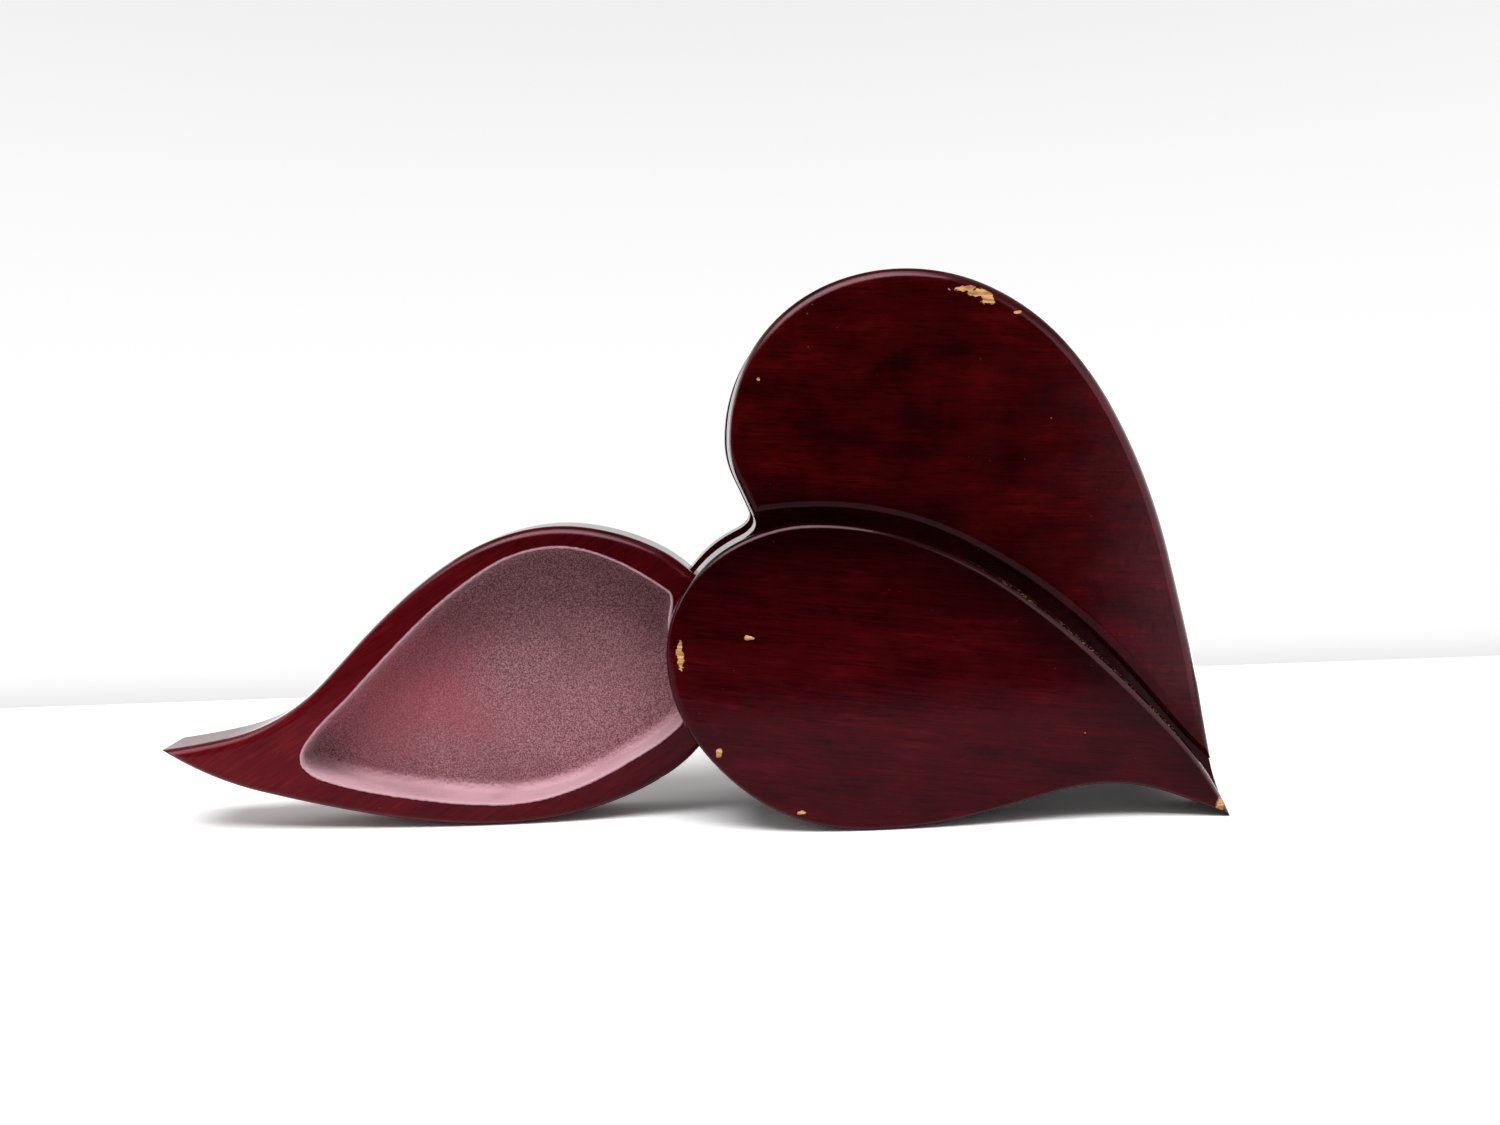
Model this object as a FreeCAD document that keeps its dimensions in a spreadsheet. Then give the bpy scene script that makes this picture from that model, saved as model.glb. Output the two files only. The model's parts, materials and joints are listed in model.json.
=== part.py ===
"""Heart-shaped wind-up music box with a swing-out lined tray, as a parametric document.

Frame: millimetres, +X right, +Y away from the viewer, +Z up. The origin is under the middle of the
box as it stands with its tray open.
"""
import FreeCAD
import Part
import math
import os
from FreeCAD import Placement, Rotation, Vector

doc = FreeCAD.newDocument("music_box")

# Driving dimensions
DIMENSIONS = {
    # Case
    "heart_width": 150.0,
    "heart_height": 147.0,
    "board_depth": 13.5,
    "relief_depth": 3.5,
    "slot_depth": 21.0,
    "rear_depth": 12.0,
    "edge_round": 3.0,
    "lobe_round": 3.2,
    "leaf_round": 2.0,
    "seam_round": 1.0,
    "tray_gap": 0.5,
    "tray_inset": 0.3,
    "pocket_gap": 0.6,
    "recess_depth": 14.0,
    "recess_cove": 4.0,
    "lining_thickness": 0.8,
    # Tray pivot and stop
    "run_gap": 0.05,
    "pin_radius": 2.5,
    "pin_seat": 8.0,
    "washer_radius": 5.0,
    "washer_thickness": 0.4,
    "rod_radius": 1.5,
    "rod_travel": 1.5,
    "rod_gap": 0.3,
    "felt_thickness": 1.2,
    "felt_overhang": 0.5,
    "felt_gap": 0.1,
    # Space for the movement, its cover and screws
    "cavity_corner": 3.0,
    "ledge_width": 3.5,
    "well_depth": 14.0,
    "cover_thickness": 4.0,
    "cover_gap": 0.2,
    "cover_hole_gap": 0.5,
    "cover_screw_spread": 24.0,
    "screw_radius": 0.8,
    "screw_head_radius": 1.6,
    "screw_head_height": 1.0,
    "screw_slot": 0.5,
    "screw_bite": 6.0,
    # Bedplate
    "bed_width": 52.0,
    "bed_gap": 1.0,
    "bed_corner": 6.0,
    "bed_thickness": 2.5,
    "axis_height": 13.5,
    "post_margin": 2.2,
    "post_width": 6.0,
    "post_thickness": 1.8,
    # Barrel, spring and winding arbor
    "barrel_radius": 10.9,
    "barrel_wall": 1.2,
    "barrel_lift": 1.0,
    "barrel_front": 1.35,
    "lid_thickness": 1.0,
    "crown_teeth": 26,
    "crown_module": 0.75,
    "crown_face": 1.4,
    "crown_pinion": 8,
    "winding_radius": 2.0,
    "arbor_stub": 0.35,
    "collar_radius": 2.9,
    "collar_gap": 0.1,
    "spring_strip": 0.35,
    "spring_pitch": 0.9,
    "spring_height": 5.0,
    "spring_lift": 0.6,
    "spring_gap": 0.1,
    "spring_turns": 7,
    "clutch_wire": 0.2,
    "clutch_pitch": 0.45,
    "clutch_floor": 0.7,
    # Drum and comb
    "drum_radius": 6.5,
    "drum_length": 19.0,
    "drum_wall": 0.8,
    "note_count": 18,
    "note_pitch": 1.0,
    "stud_height": 0.5,
    "stud_radius": 0.2,
    "comb_thickness": 1.0,
    "tine_length": 11.0,
    "tine_taper": 0.3,
    "tine_slit": 0.25,
    "comb_base": 5.0,
    "comb_gap": 0.15,
    # Wheels and governor
    "side_gap": 0.4,
    "arbor_radius": 1.0,
    "wheel_teeth": 40,
    "train_module": 0.4,
    "wheel_width": 1.2,
    "wheel_room": 0.25,
    "train_pinion": 8,
    "pivot_radius": 0.6,
    "worm_teeth": 16,
    "worm_radius": 1.2,
    "brake_radius": 2.2,
    "brake_rise": 4.0,
    "brake_height": 5.0,
    "pinion_overhang": 0.15,
    "post_step": 0.6,
    "worm_step": 1.1,
    "governor_foot": 1.2,
    "governor_low": 2.0,
    "governor_high": 1.2,
    "governor_post": 1.3,
    "governor_left": 1.7,
    "governor_right": 2.4,
    "bridge_gap": 0.5,
    "bridge_thickness": 1.0,
    "bridge_margin": 1.6,
    "end_gap": 0.3,
    "fly_radius": 4.0,
    "fly_height": 2.3,
    "fly_thickness": 0.5,
    # Key
    "key_span": 20.0,
    "key_thickness": 2.0,
    "key_gap": 0.6,
    "key_recess": 0.5,
    "key_foot": 1.5,
    "key_notch": 2.4,
    "key_hub": 3.5,
    "key_hub_length": 4.6,
    "key_bore": 4.0,
}
sheet = doc.addObject("Spreadsheet::Sheet", "d")
for row, (alias, value) in enumerate(DIMENSIONS.items(), start=1):
    sheet.set(f"A{row}", alias)
    sheet.set(f"B{row}", str(value))
    sheet.setAlias(f"B{row}", alias)
doc.recompute()


def dim(alias):
    return float(getattr(sheet, alias))


# Outlines: each node is x, z, heading in and, at a corner, heading out, drawn for a 150 x 147 heart
DRAWN_WIDTH = 150.0
DRAWN_HEIGHT = 147.0
BOTTOM_EDGE = [(116, 10.1, 180), (90.5, 5.3, 195), (54, 0, 180), (19.9, 11.4, 141), (0, 48, 90),
               (6, 66.5, 54), (17.3, 76.8, 29)]
TIP = (150, 0, -67, 155)
LOBE_TOP = [(23.5, 80.5, 46), (24.1, 83.9, 113), (17.7, 103.5, 90), (32.6, 136.2, 40), (63.5, 146.9, 0),
            (105.8, 127.6, -47.5), (127, 91.5, -69), (138, 51.8, -77), (144.9, 15.5, -79)]
HEART = LOBE_TOP + [TIP] + BOTTOM_EDGE
LEAF_TOP = [(38, 82.4, 0), (70.7, 75.6, -22.5), (112.9, 46.5, -43.5), TIP]
LEAF = LEAF_TOP + BOTTOM_EDGE
LOBE_EDGE = [(-10, 78.3, 6), (38, 85.6, 0), (78.2, 75.8, -28), (120.2, 42.9, -48), (136.9, 23.5, -49),
             (160, 5.5, -27)]
SIDE_GAP = [(31, 77.5, 113), (21.7, 103.5, 90), (33.9, 134.5, 42), (50.5, 150.5, 46)]
RECESS = [(36.6, 73.4, 0), (65.7, 70.4, -15), (95.6, 53, -40.5), (117.3, 31.7, -52), (119.9, 25.5, -90),
          (114, 19.4, -160), (95.8, 14.9, -165), (48, 6.7, 180), (21.4, 18, 131), (9.5, 38.5, 112),
          (11.5, 44, 45), (16.5, 53, 80), (21.5, 67, 62), (28.5, 72.6, 10)]
PIVOT = (8.65, 52.68)
MOVEMENT = (64.5, 110.5)
RUN_OUT = 40.0
OVERRUN = 2.0
EMBED = 0.1


def heading_vector(degrees):
    return Vector(math.cos(math.radians(degrees)), 0, math.sin(math.radians(degrees)))


def stretch(x, z):
    return Vector(x * dim("heart_width") / DRAWN_WIDTH, 0, z * dim("heart_height") / DRAWN_HEIGHT)


def fitted(nodes):
    """Nodes as (point, direction in, direction out), stretched to the sheet's heart."""
    result = []
    for x, z, *headings in nodes:
        ways = [stretch(way.x, way.z).normalize() for way in map(heading_vector, headings)]
        result.append((stretch(x, z), ways[0], ways[-1]))
    return result


def inset(nodes, distance):
    """Fitted nodes moved towards the right of their heading, which is inwards on a clockwise outline."""
    result = []
    for point, way_in, way_out in nodes:
        right_in = Vector(way_in.z, 0, -way_in.x)
        right_out = Vector(way_out.z, 0, -way_out.x)
        mitre = (right_in + right_out) / (1 + right_in.dot(right_out))
        result.append((point + mitre * distance, way_in, way_out))
    return result


def arc_through(start, end, way):
    """The middle of the arc from start to end that leaves start along way."""
    chord = end - start
    left = Vector(-chord.z, 0, chord.x)
    turn = math.atan2(left.dot(way), chord.dot(way))
    return start + chord / 2 + left / 2 * math.tan(turn / 2)


def biarc(first, second):
    """Two arcs, each as three points, from one node to the next."""
    start, _, leave = first
    end, arrive, _ = second
    span = end - start
    both = leave + arrive
    bend = 2 - 2 * leave.dot(arrive)
    reach = span.dot(both)
    if bend < 1e-6:
        size = span.dot(span) / (2 * reach)
    else:
        size = (math.sqrt(reach ** 2 + bend * span.dot(span)) - reach) / bend
    joint = (start + end + (leave - arrive) * size) / 2
    back = arc_through(end, joint, arrive * -1)
    return [(start, arc_through(start, joint, leave), joint), (joint, back, end)]


def outline_arcs(nodes, closed=True):
    pairs = list(zip(nodes, nodes[1:] + nodes[:1]))
    return [arc for pair in (pairs if closed else pairs[:-1]) for arc in biarc(*pair)]


def flat(point):
    return Vector(point.x, point.z, 0)


def curve(start, middle, end):
    """An arc through three points, or a line where they are in a row."""
    if (middle - (start + end) / 2).Length < 1e-4:
        return Part.LineSegment(start, end)
    if (middle - start).cross(end - start).z < 0:
        start, end = end, start
    return Part.ArcOfCircle(start, middle, end)


def outline_geometry(nodes):
    """Sketch curves of a closed outline."""
    return [curve(*map(flat, arc)) for arc in outline_arcs(nodes)]


def rounded_rectangle(centre, width, height, corner):
    """Sketch curves of a rectangle with round corners, centred on a point (x, z)."""
    half_w = width / 2
    half_h = height / 2
    nodes = []
    for sx, sz, heading in ((-1, 1, 90), (1, 1, 0), (1, -1, -90), (-1, -1, 180)):
        far = Vector(centre.x + sx * half_w, 0, centre.z + sz * half_h)
        ways = heading_vector(heading), heading_vector(heading - 90)
        nodes.append((far - ways[0] * corner, ways[0], ways[0]))
        nodes.append((far + ways[1] * corner, ways[1], ways[1]))
    return outline_geometry(nodes)


def circle(x, z, radius):
    return Part.Circle(Vector(x, z, 0), Vector(0, 0, 1), radius)


# Bodies: drawn on the XZ plane from a piece's rear face towards the viewer
def new_body(label, origin):
    body = doc.addObject("PartDesign::Body", label)
    body.Placement = Placement(origin, Rotation())
    return body


def new_sketch(body, curves, lift=0.0, plane="XZ_Plane"):
    sketch = body.newObject("Sketcher::SketchObject", "outline")
    support = next(item for item in body.Origin.OriginFeatures if item.Role == plane)
    sketch.AttachmentSupport = [(support, "")]
    sketch.MapMode = "FlatFace"
    sketch.AttachmentOffset = Placement(Vector(0, 0, lift), Rotation())
    sketch.addGeometry(curves, False)
    return sketch


def pad(body, curves, length, lift=0.0, plane="XZ_Plane", reverse=False):
    feature = body.newObject("PartDesign::Pad", "pad")
    feature.Profile = new_sketch(body, curves, lift, plane)
    feature.setExpression("Length", length)
    feature.Reversed = reverse
    doc.recompute()
    return feature


def pocket(body, curves, length, lift=0.0, plane="XZ_Plane", reverse=False):
    feature = body.newObject("PartDesign::Pocket", "pocket")
    feature.Profile = new_sketch(body, curves, lift, plane)
    feature.setExpression("Length", length)
    feature.Reversed = reverse
    doc.recompute()
    return feature


def round_edges(body, chosen, radius):
    """Fillet the edges of the body's last feature for which chosen(edge) is true."""
    base = body.Tip
    names = [f"Edge{index}" for index, edge in enumerate(base.Shape.Edges, start=1) if chosen(edge)]
    feature = body.newObject("PartDesign::Fillet", "round")
    feature.Base = (base, names)
    feature.setExpression("Radius", radius)
    doc.recompute()
    return feature


def at_depth(depth):
    """Edges that lie flat at a depth, counted from the body's rear face towards the viewer."""
    return lambda edge: all(abs(vertex.Y + depth) < 1e-4 for vertex in edge.Vertexes)


# Movement: x and z from the movement's centre, rise from the bedplate's front towards the viewer
AXIS = -3.0
BARREL_X = -14.0
DRUM_X = -0.5
WHEEL_X = DRUM_X + dim("drum_length") + dim("side_gap")
WHEEL_END = WHEEL_X + dim("wheel_width")
POST_X = (DRUM_X - dim("side_gap") - dim("post_thickness"), WHEEL_END + dim("post_step"))
TRAIN_DISTANCE = dim("train_module") * (dim("wheel_teeth") + dim("train_pinion")) / 2
SECOND_Z = AXIS - TRAIN_DISTANCE
WORM_WHEEL_X = WHEEL_END + dim("worm_step")
WORM_X = WORM_WHEEL_X + dim("wheel_width") / 2
WORM_Z = SECOND_Z - dim("train_module") * dim("worm_teeth") / 2 - dim("worm_radius")
COMB_TIP = AXIS + dim("drum_radius") + dim("stud_height") + dim("comb_gap")
COMB_RISE = dim("axis_height") - dim("comb_thickness") / 2
COMB_BACK = COMB_TIP + dim("tine_length") + dim("comb_base")
COMB_SCREWS = (4.0, 14.0)
BED_SCREWS = ((-21.0, 16.0), (21.5, 5.0), (4.0, -17.0))
GOVERNOR_X = (WHEEL_X - dim("governor_left"), WORM_WHEEL_X + dim("wheel_width") + dim("governor_right"))
GOVERNOR_SCREWS = ((GOVERNOR_X[0] + 3.3, SECOND_Z - 0.4), (GOVERNOR_X[0] + 1.8, WORM_Z))
DEDENDUM = 1.25
WHEEL_ADDENDUM = 0.6
WHEEL_TIP = dim("train_module") * (dim("wheel_teeth") / 2 + WHEEL_ADDENDUM)
WORM_ADDENDUM = 0.7
WORM_WHEEL_TIP = dim("train_module") * (dim("worm_teeth") / 2 + WORM_ADDENDUM)
WORM_SLACK = 0.06
BRIDGE_RISE = dim("axis_height") + WORM_WHEEL_TIP + dim("bridge_gap")
BRIDGE_TOP = BRIDGE_RISE + dim("bridge_thickness")
FLY_RISE = BRIDGE_TOP + dim("end_gap")
WORM_TURNS = 4
CROWN_ADDENDUM = 0.4
CROWN_SLACK = 0.15
CROWN_RADIUS = dim("crown_module") * dim("crown_teeth") / 2
CROWN_PITCH = dim("axis_height") - dim("crown_module") * dim("crown_pinion") / 2
CROWN_ROOT = CROWN_PITCH - DEDENDUM * dim("crown_module")
LID_END = dim("barrel_lift") + dim("lid_thickness")
BEATS = 4
STUD_STEP = 37
STUD_SPREAD = 80
STOP_ROOM = dim("brake_radius") + dim("felt_gap") + dim("rod_travel") + dim("felt_thickness")
CAVITY_WIDTH = dim("bed_width") + 2 * dim("bed_gap")
CAVITY_HEIGHT = 2 * (STOP_ROOM - WORM_Z)
CAVITY_FRONT = dim("axis_height") + WHEEL_TIP + dim("wheel_room")


# Shared places
heart = fitted(HEART)
leaf = fitted(LEAF)
pivot = stretch(*PIVOT)
movement = stretch(*MOVEMENT)
tray_outline = inset(leaf, dim("tray_inset"))


def open_box(angle):
    """Bounds of the tray's outline when turned about the pivot."""
    edges = Part.makeCompound([curve(*arc).toShape() for arc in outline_arcs(tray_outline)])
    edges.rotate(pivot, Vector(0, 1, 0), angle)
    return edges.optimalBoundingBox()


def resting_angle():
    """Turn from shut to open that brings the tray's lowest point down to the table."""
    low, high = 120.0, 175.0
    for _ in range(30):
        middle = (low + high) / 2
        low, high = (middle, high) if open_box(middle).ZMin < 0 else (low, middle)
    return high


tray_angle = resting_angle()
swing = Rotation(Vector(0, 1, 0), tray_angle)
middle_x = (open_box(tray_angle).XMin + dim("heart_width")) / 2
total_depth = dim("relief_depth") + dim("board_depth") + dim("slot_depth") + dim("rear_depth")
FRONT_FACE = -total_depth / 2
BOARD_FRONT = FRONT_FACE + dim("relief_depth")
BOARD_BACK = BOARD_FRONT + dim("board_depth")
SLOT_BACK = BOARD_BACK + dim("slot_depth")
REAR_FACE = total_depth / 2
LEDGE = REAR_FACE - dim("well_depth")
BED_FRONT = LEDGE - dim("bed_thickness")
BODY_DEPTH = dim("slot_depth") + dim("rear_depth")
LEDGE_X = (CAVITY_WIDTH + dim("ledge_width")) / 2
COVER_SCREWS = [(sx * LEDGE_X, sz * dim("cover_screw_spread") / 2) for sx in (-1, 1) for sz in (-1, 1)]
CAVITY_FLOOR = movement.z - CAVITY_HEIGHT / 2
BOARD_POCKET = CAVITY_FRONT - BED_FRONT + BOARD_BACK
ROD_X = movement.x + WORM_X
ROD_Y = BED_FRONT - dim("brake_rise") - dim("brake_height") / 2
COVER_BACK = LEDGE + dim("cover_thickness")
KEY_START = COVER_BACK + dim("key_gap")
KEY_END = REAR_FACE - dim("key_recess")


def leaf_height(x):
    """Height of the leaf's top edge at x."""
    upright = Part.makeLine(Vector(x, 0, -500), Vector(x, 0, 500))
    for arc in outline_arcs(fitted(LEAF_TOP), closed=False):
        distance, points, _ = curve(*arc).toShape().distToShape(upright)
        if distance < 1e-6:
            return points[0][0].z
    raise ValueError("no leaf above this place")


def slot_roof(x):
    return leaf_height(x) + dim("pocket_gap")


def place(x, y, z):
    """A point of the assembled box from heart coordinates."""
    return Vector(x - middle_x, y, z)


def below(nodes):
    """A closed outline of everything under an open row of nodes that runs left to right."""
    left, _, start_way = nodes[0]
    right, end_way, _ = nodes[-1]
    up, down, back = heading_vector(90), heading_vector(-90), heading_vector(180)
    corners = [(Vector(right.x, 0, -RUN_OUT), down, back), (Vector(left.x, 0, -RUN_OUT), back, up)]
    return [(left, up, start_way)] + nodes[1:-1] + [(right, end_way, down)] + corners


def left_of(nodes):
    """A closed outline of everything left of an open row of nodes that runs upwards."""
    low, _, start_way = nodes[0]
    high, end_way, _ = nodes[-1]
    left, down, right = heading_vector(180), heading_vector(-90), heading_vector(0)
    corners = [(Vector(-RUN_OUT, 0, high.z), left, down), (Vector(-RUN_OUT, 0, low.z), down, right)]
    return [(low, right, start_way)] + nodes[1:-1] + [(high, end_way, left)] + corners


# Solids from primitives, with sizes bound to the sheet
FRONTWARD = Rotation(Vector(0, 0, 1), Vector(0, -1, 0))
REARWARD = Rotation(Vector(0, 0, 1), Vector(0, 1, 0))
RIGHTWARD = Rotation(Vector(0, 0, 1), Vector(1, 0, 0))
UPRIGHT = Rotation()


def solid(kind, origin, turn, **sizes):
    item = doc.addObject(f"Part::{kind}", kind)
    item.Placement = Placement(origin, turn)
    for name, size in sizes.items():
        item.setExpression(name, size)
    return item


def rod(origin, turn, radius, length):
    return solid("Cylinder", origin, turn, Radius=radius, Height=length)


def fuse(label, items):
    result = doc.addObject("Part::MultiFuse", label)
    result.Shapes = items
    return result


def cut(label, base, tool):
    result = doc.addObject("Part::Cut", label)
    result.Base = base
    result.Tool = tool
    return result


def group(label, items):
    result = doc.addObject("Part::Compound", label)
    result.Links = items
    return result


def ring(label, origin, turn, outer, inner, length):
    return cut(label, rod(origin, turn, outer, length), rod(origin, turn, inner, length))


def screw(origin, turn, length):
    """A slotted screw whose head sits behind the origin and whose shank runs along the turned Z axis."""
    shank = rod(origin, turn, "d.screw_radius", length)
    axis = turn.multVec(Vector(0, 0, 1))
    head = rod(origin - axis * dim("screw_head_height"), turn, "d.screw_head_radius", "d.screw_head_height")
    corner = Vector(-dim("screw_head_radius"), -dim("screw_slot") / 2, -dim("screw_head_height"))
    slot = solid("Box", origin + turn.multVec(corner), turn, Length="2 * d.screw_head_radius",
                 Width="d.screw_slot", Height="d.screw_slot")
    return cut("screw", fuse("blank", [shank, head]), slot)


# Wooden case
def build_upper_lobe():
    """Raised front of the upper lobe: the heart cut away below the groove."""
    body = new_body("upper_lobe", place(0, BOARD_FRONT, 0))
    pad(body, outline_geometry(heart), "d.relief_depth")
    pocket(body, outline_geometry(below(fitted(LOBE_EDGE))), "d.relief_depth", dim("relief_depth"))
    round_edges(body, at_depth(dim("relief_depth")), "d.lobe_round")
    return body


def build_lower_leaf():
    body = new_body("lower_leaf", place(0, BOARD_FRONT, 0))
    pad(body, outline_geometry(leaf), "d.relief_depth")
    round_edges(body, at_depth(dim("relief_depth")), "d.leaf_round")
    return body


def cavity_outline(grow=0.0):
    """The movement's space, or with grow the wider well behind it."""
    corner = dim("cavity_corner") + grow
    return rounded_rectangle(movement, CAVITY_WIDTH + 2 * grow, CAVITY_HEIGHT + 2 * grow, corner)


def build_front_board():
    body = new_body("front_board", place(0, BOARD_BACK, 0))
    pad(body, outline_geometry(heart), "d.board_depth")
    round_edges(body, at_depth(0), "d.seam_round")
    pocket(body, cavity_outline(), str(BOARD_POCKET), reverse=True)
    pocket(body, [circle(pivot.x, pivot.z, dim("pin_radius"))], "d.pin_seat", reverse=True)
    return body


def tray_pocket_outline():
    """Everything under the closed tray's top edge, with room to swing."""
    top = inset(fitted(LEAF_TOP), -dim("pocket_gap"))
    end, way, _ = top[-1]
    level = heading_vector(0)
    run_in = (Vector(-RUN_OUT, 0, top[0][0].z), level, level)
    return below([run_in] + top[:-1] + [(end, way, way), (end + way * RUN_OUT, way, way)])


def build_rear_body():
    body = new_body("rear_body", place(0, REAR_FACE, 0))
    pad(body, outline_geometry(heart), "d.slot_depth + d.rear_depth")
    round_edges(body, at_depth(0), "d.edge_round")
    round_edges(body, at_depth(BODY_DEPTH), "d.seam_round")
    pocket(body, outline_geometry(tray_pocket_outline()), "d.slot_depth", BODY_DEPTH)
    pocket(body, outline_geometry(left_of(fitted(SIDE_GAP))), "d.slot_depth", BODY_DEPTH)
    pocket(body, [circle(pivot.x, pivot.z, dim("pin_radius"))], "d.pin_seat", dim("rear_depth"))
    pocket(body, cavity_outline(), "d.slot_depth + d.rear_depth - d.well_depth", BODY_DEPTH)
    pocket(body, cavity_outline(dim("ledge_width")), "d.well_depth", reverse=True)
    holes = [circle(movement.x + x, movement.z + z, dim("screw_radius")) for x, z in COVER_SCREWS]
    pocket(body, holes, "d.screw_bite", dim("well_depth"), reverse=True)
    guide = [circle(ROD_X, ROD_Y - REAR_FACE, dim("rod_radius") + dim("run_gap"))]
    length = CAVITY_FLOOR - slot_roof(ROD_X) + 2 * OVERRUN
    pocket(body, guide, str(length), CAVITY_FLOOR + OVERRUN, "XY_Plane")
    return body


def build_tray():
    body = new_body("tray", Vector())
    depth = dim("slot_depth") - 2 * dim("tray_gap")
    pad(body, outline_geometry(tray_outline), "d.slot_depth - 2 * d.tray_gap")
    round_edges(body, lambda edge: at_depth(0)(edge) or at_depth(depth)(edge), "d.edge_round")
    pocket(body, outline_geometry(fitted(RECESS)), "d.recess_depth", depth)
    round_edges(body, at_depth(depth - dim("recess_depth")), "d.recess_cove")
    pocket(body, [circle(pivot.x, pivot.z, dim("pin_radius") + dim("run_gap"))], "d.slot_depth", depth)
    body.Placement = tray_placement()
    return body


def tray_placement():
    """The open tray: its closed place turned about the pivot."""
    hinge = Placement(place(pivot.x, SLOT_BACK - dim("tray_gap"), pivot.z), swing)
    return hinge * Placement(Vector(-pivot.x, 0, -pivot.z), Rotation())


def recess_fill(label, spread, floor, length, cove):
    """A coved solid that fills the recess, less a spread at the wall."""
    body = new_body(label, Vector())
    pad(body, outline_geometry(inset(fitted(RECESS), spread)), length, floor)
    round_edges(body, at_depth(floor), cove)
    body.Placement = tray_placement()
    return body


def build_tray_lining():
    """Thin flocked shell on the floor and walls of the recess."""
    floor = dim("slot_depth") - 2 * dim("tray_gap") - dim("recess_depth")
    thick = dim("lining_thickness")
    outer = recess_fill("lining_outside", 0, floor, "d.recess_depth", "d.recess_cove")
    inner = recess_fill("lining_inside", thick, floor + thick, "d.recess_depth",
                        "d.recess_cove - d.lining_thickness")
    return cut("tray_lining", outer, inner)


def inside(x, rise, z):
    return place(movement.x + x, BED_FRONT - rise, movement.z + z)


def box_curves(x0, x1, z0, z1):
    corners = [Vector(x0, z0, 0), Vector(x1, z0, 0), Vector(x1, z1, 0), Vector(x0, z1, 0)]
    return [Part.LineSegment(a, b) for a, b in zip(corners, corners[1:] + corners[:1])]


def build_bedplate():
    """Cast plate with the comb's ledge and the drum's two bearing posts."""
    body = new_body("bedplate", inside(0, -dim("bed_thickness"), 0))
    height = CAVITY_HEIGHT - 2 * dim("bed_gap")
    plate = rounded_rectangle(Vector(), dim("bed_width"), height, dim("bed_corner"))
    pad(body, plate, "d.bed_thickness")
    top = dim("bed_thickness")
    ledge = box_curves(DRUM_X, DRUM_X + dim("drum_length"), COMB_BACK - dim("comb_base"), COMB_BACK)
    pad(body, ledge, "d.axis_height - d.comb_thickness / 2", top)
    half = dim("post_width") / 2
    for x in POST_X:
        post = box_curves(x, x + dim("post_thickness"), AXIS - half, AXIS + half)
        pad(body, post, "d.axis_height + d.post_margin", top)
    level = -top - dim("axis_height")
    bore = [circle(level, AXIS, dim("arbor_radius") + dim("run_gap"))]
    pocket(body, bore, "d.bed_width", POST_X[1] + dim("post_thickness"), "YZ_Plane")
    pocket(body, [circle(BARREL_X, AXIS, dim("winding_radius") + dim("run_gap"))], "d.bed_thickness", top)
    clutch = dim("winding_radius") + 2 * dim("run_gap") + 3 * dim("clutch_wire")
    pocket(body, [circle(BARREL_X, AXIS, clutch)], "d.bed_thickness - d.clutch_floor", top)
    holes = [circle(x, z, dim("screw_radius")) for x, z in BED_SCREWS + GOVERNOR_SCREWS]
    pocket(body, holes, "d.bed_thickness", top)
    comb_holes = [circle(x, COMB_BACK - dim("comb_base") / 2, dim("screw_radius")) for x in COMB_SCREWS]
    pocket(body, comb_holes, "d.screw_bite", top + COMB_RISE)
    return body


def comb_outline():
    """Base and tines, longest at the bass end, tips in one line."""
    width = dim("drum_length")
    points = [Vector(DRUM_X + width, COMB_BACK, 0), Vector(DRUM_X, COMB_BACK, 0)]
    count = int(dim("note_count"))
    margin = (width - count * dim("note_pitch")) / 2
    for note in range(count):
        left = DRUM_X + margin + note * dim("note_pitch") + dim("tine_slit") / 2
        right = left + dim("note_pitch") - dim("tine_slit")
        root = COMB_TIP + dim("tine_length") * (1 - dim("tine_taper") * note / (count - 1))
        tine = [(left, root), (left, COMB_TIP), (right, COMB_TIP), (right, root)]
        points += [Vector(x, z, 0) for x, z in tine]
    for corner in points[2:4]:
        corner.x = DRUM_X
    for corner in points[-2:]:
        corner.x = DRUM_X + width
    return [Part.LineSegment(a, b) for a, b in zip(points, points[1:] + points[:1])]


def build_comb():
    body = new_body("comb", inside(0, COMB_RISE, 0))
    pad(body, comb_outline(), "d.comb_thickness")
    holes = [circle(x, COMB_BACK - dim("comb_base") / 2, dim("screw_radius")) for x in COMB_SCREWS]
    pocket(body, holes, "d.comb_thickness", dim("comb_thickness"))
    return body


# Gears: a blank, one tooth gap and a polar pattern of it
PRESSURE = math.radians(20)


def involute(angle):
    return math.tan(angle) - angle


def gap_half_angle(radius, teeth, module, slack):
    """Half the angle of a tooth gap at a radius."""
    pitch = module * teeth / 2
    base = pitch * math.cos(PRESSURE)
    lean = math.acos(min(1.0, base / radius))
    return math.pi / (2 * teeth) + slack / pitch + involute(lean) - involute(PRESSURE)


def tooth_gap(teeth, module, tip, root, slack, angle):
    """Sketch curves of one tooth gap round the origin, opening outwards at an angle."""
    base = module * teeth / 2 * math.cos(PRESSURE)

    def spot(radius, side):
        turn = angle + side * gap_half_angle(radius, teeth, module, slack)
        return Vector(radius * math.cos(turn), radius * math.sin(turn), 0)

    outer = tip + EMBED
    inner = max(base, root)
    middle = (outer + inner) / 2
    flanks = [curve(spot(inner, side), spot(middle, side), spot(outer, side)) for side in (1, -1)]
    crown = Vector(outer * math.cos(angle), outer * math.sin(angle), 0)
    across = [curve(spot(outer, 1), crown, spot(outer, -1))]
    if inner - root < 0.03:
        return flanks + across + [Part.LineSegment(spot(inner, -1), spot(inner, 1))]
    sides = [Part.LineSegment(spot(inner, side), spot(root, side)) for side in (1, -1)]
    return flanks + across + sides + [Part.LineSegment(spot(root, -1), spot(root, 1))]


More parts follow.
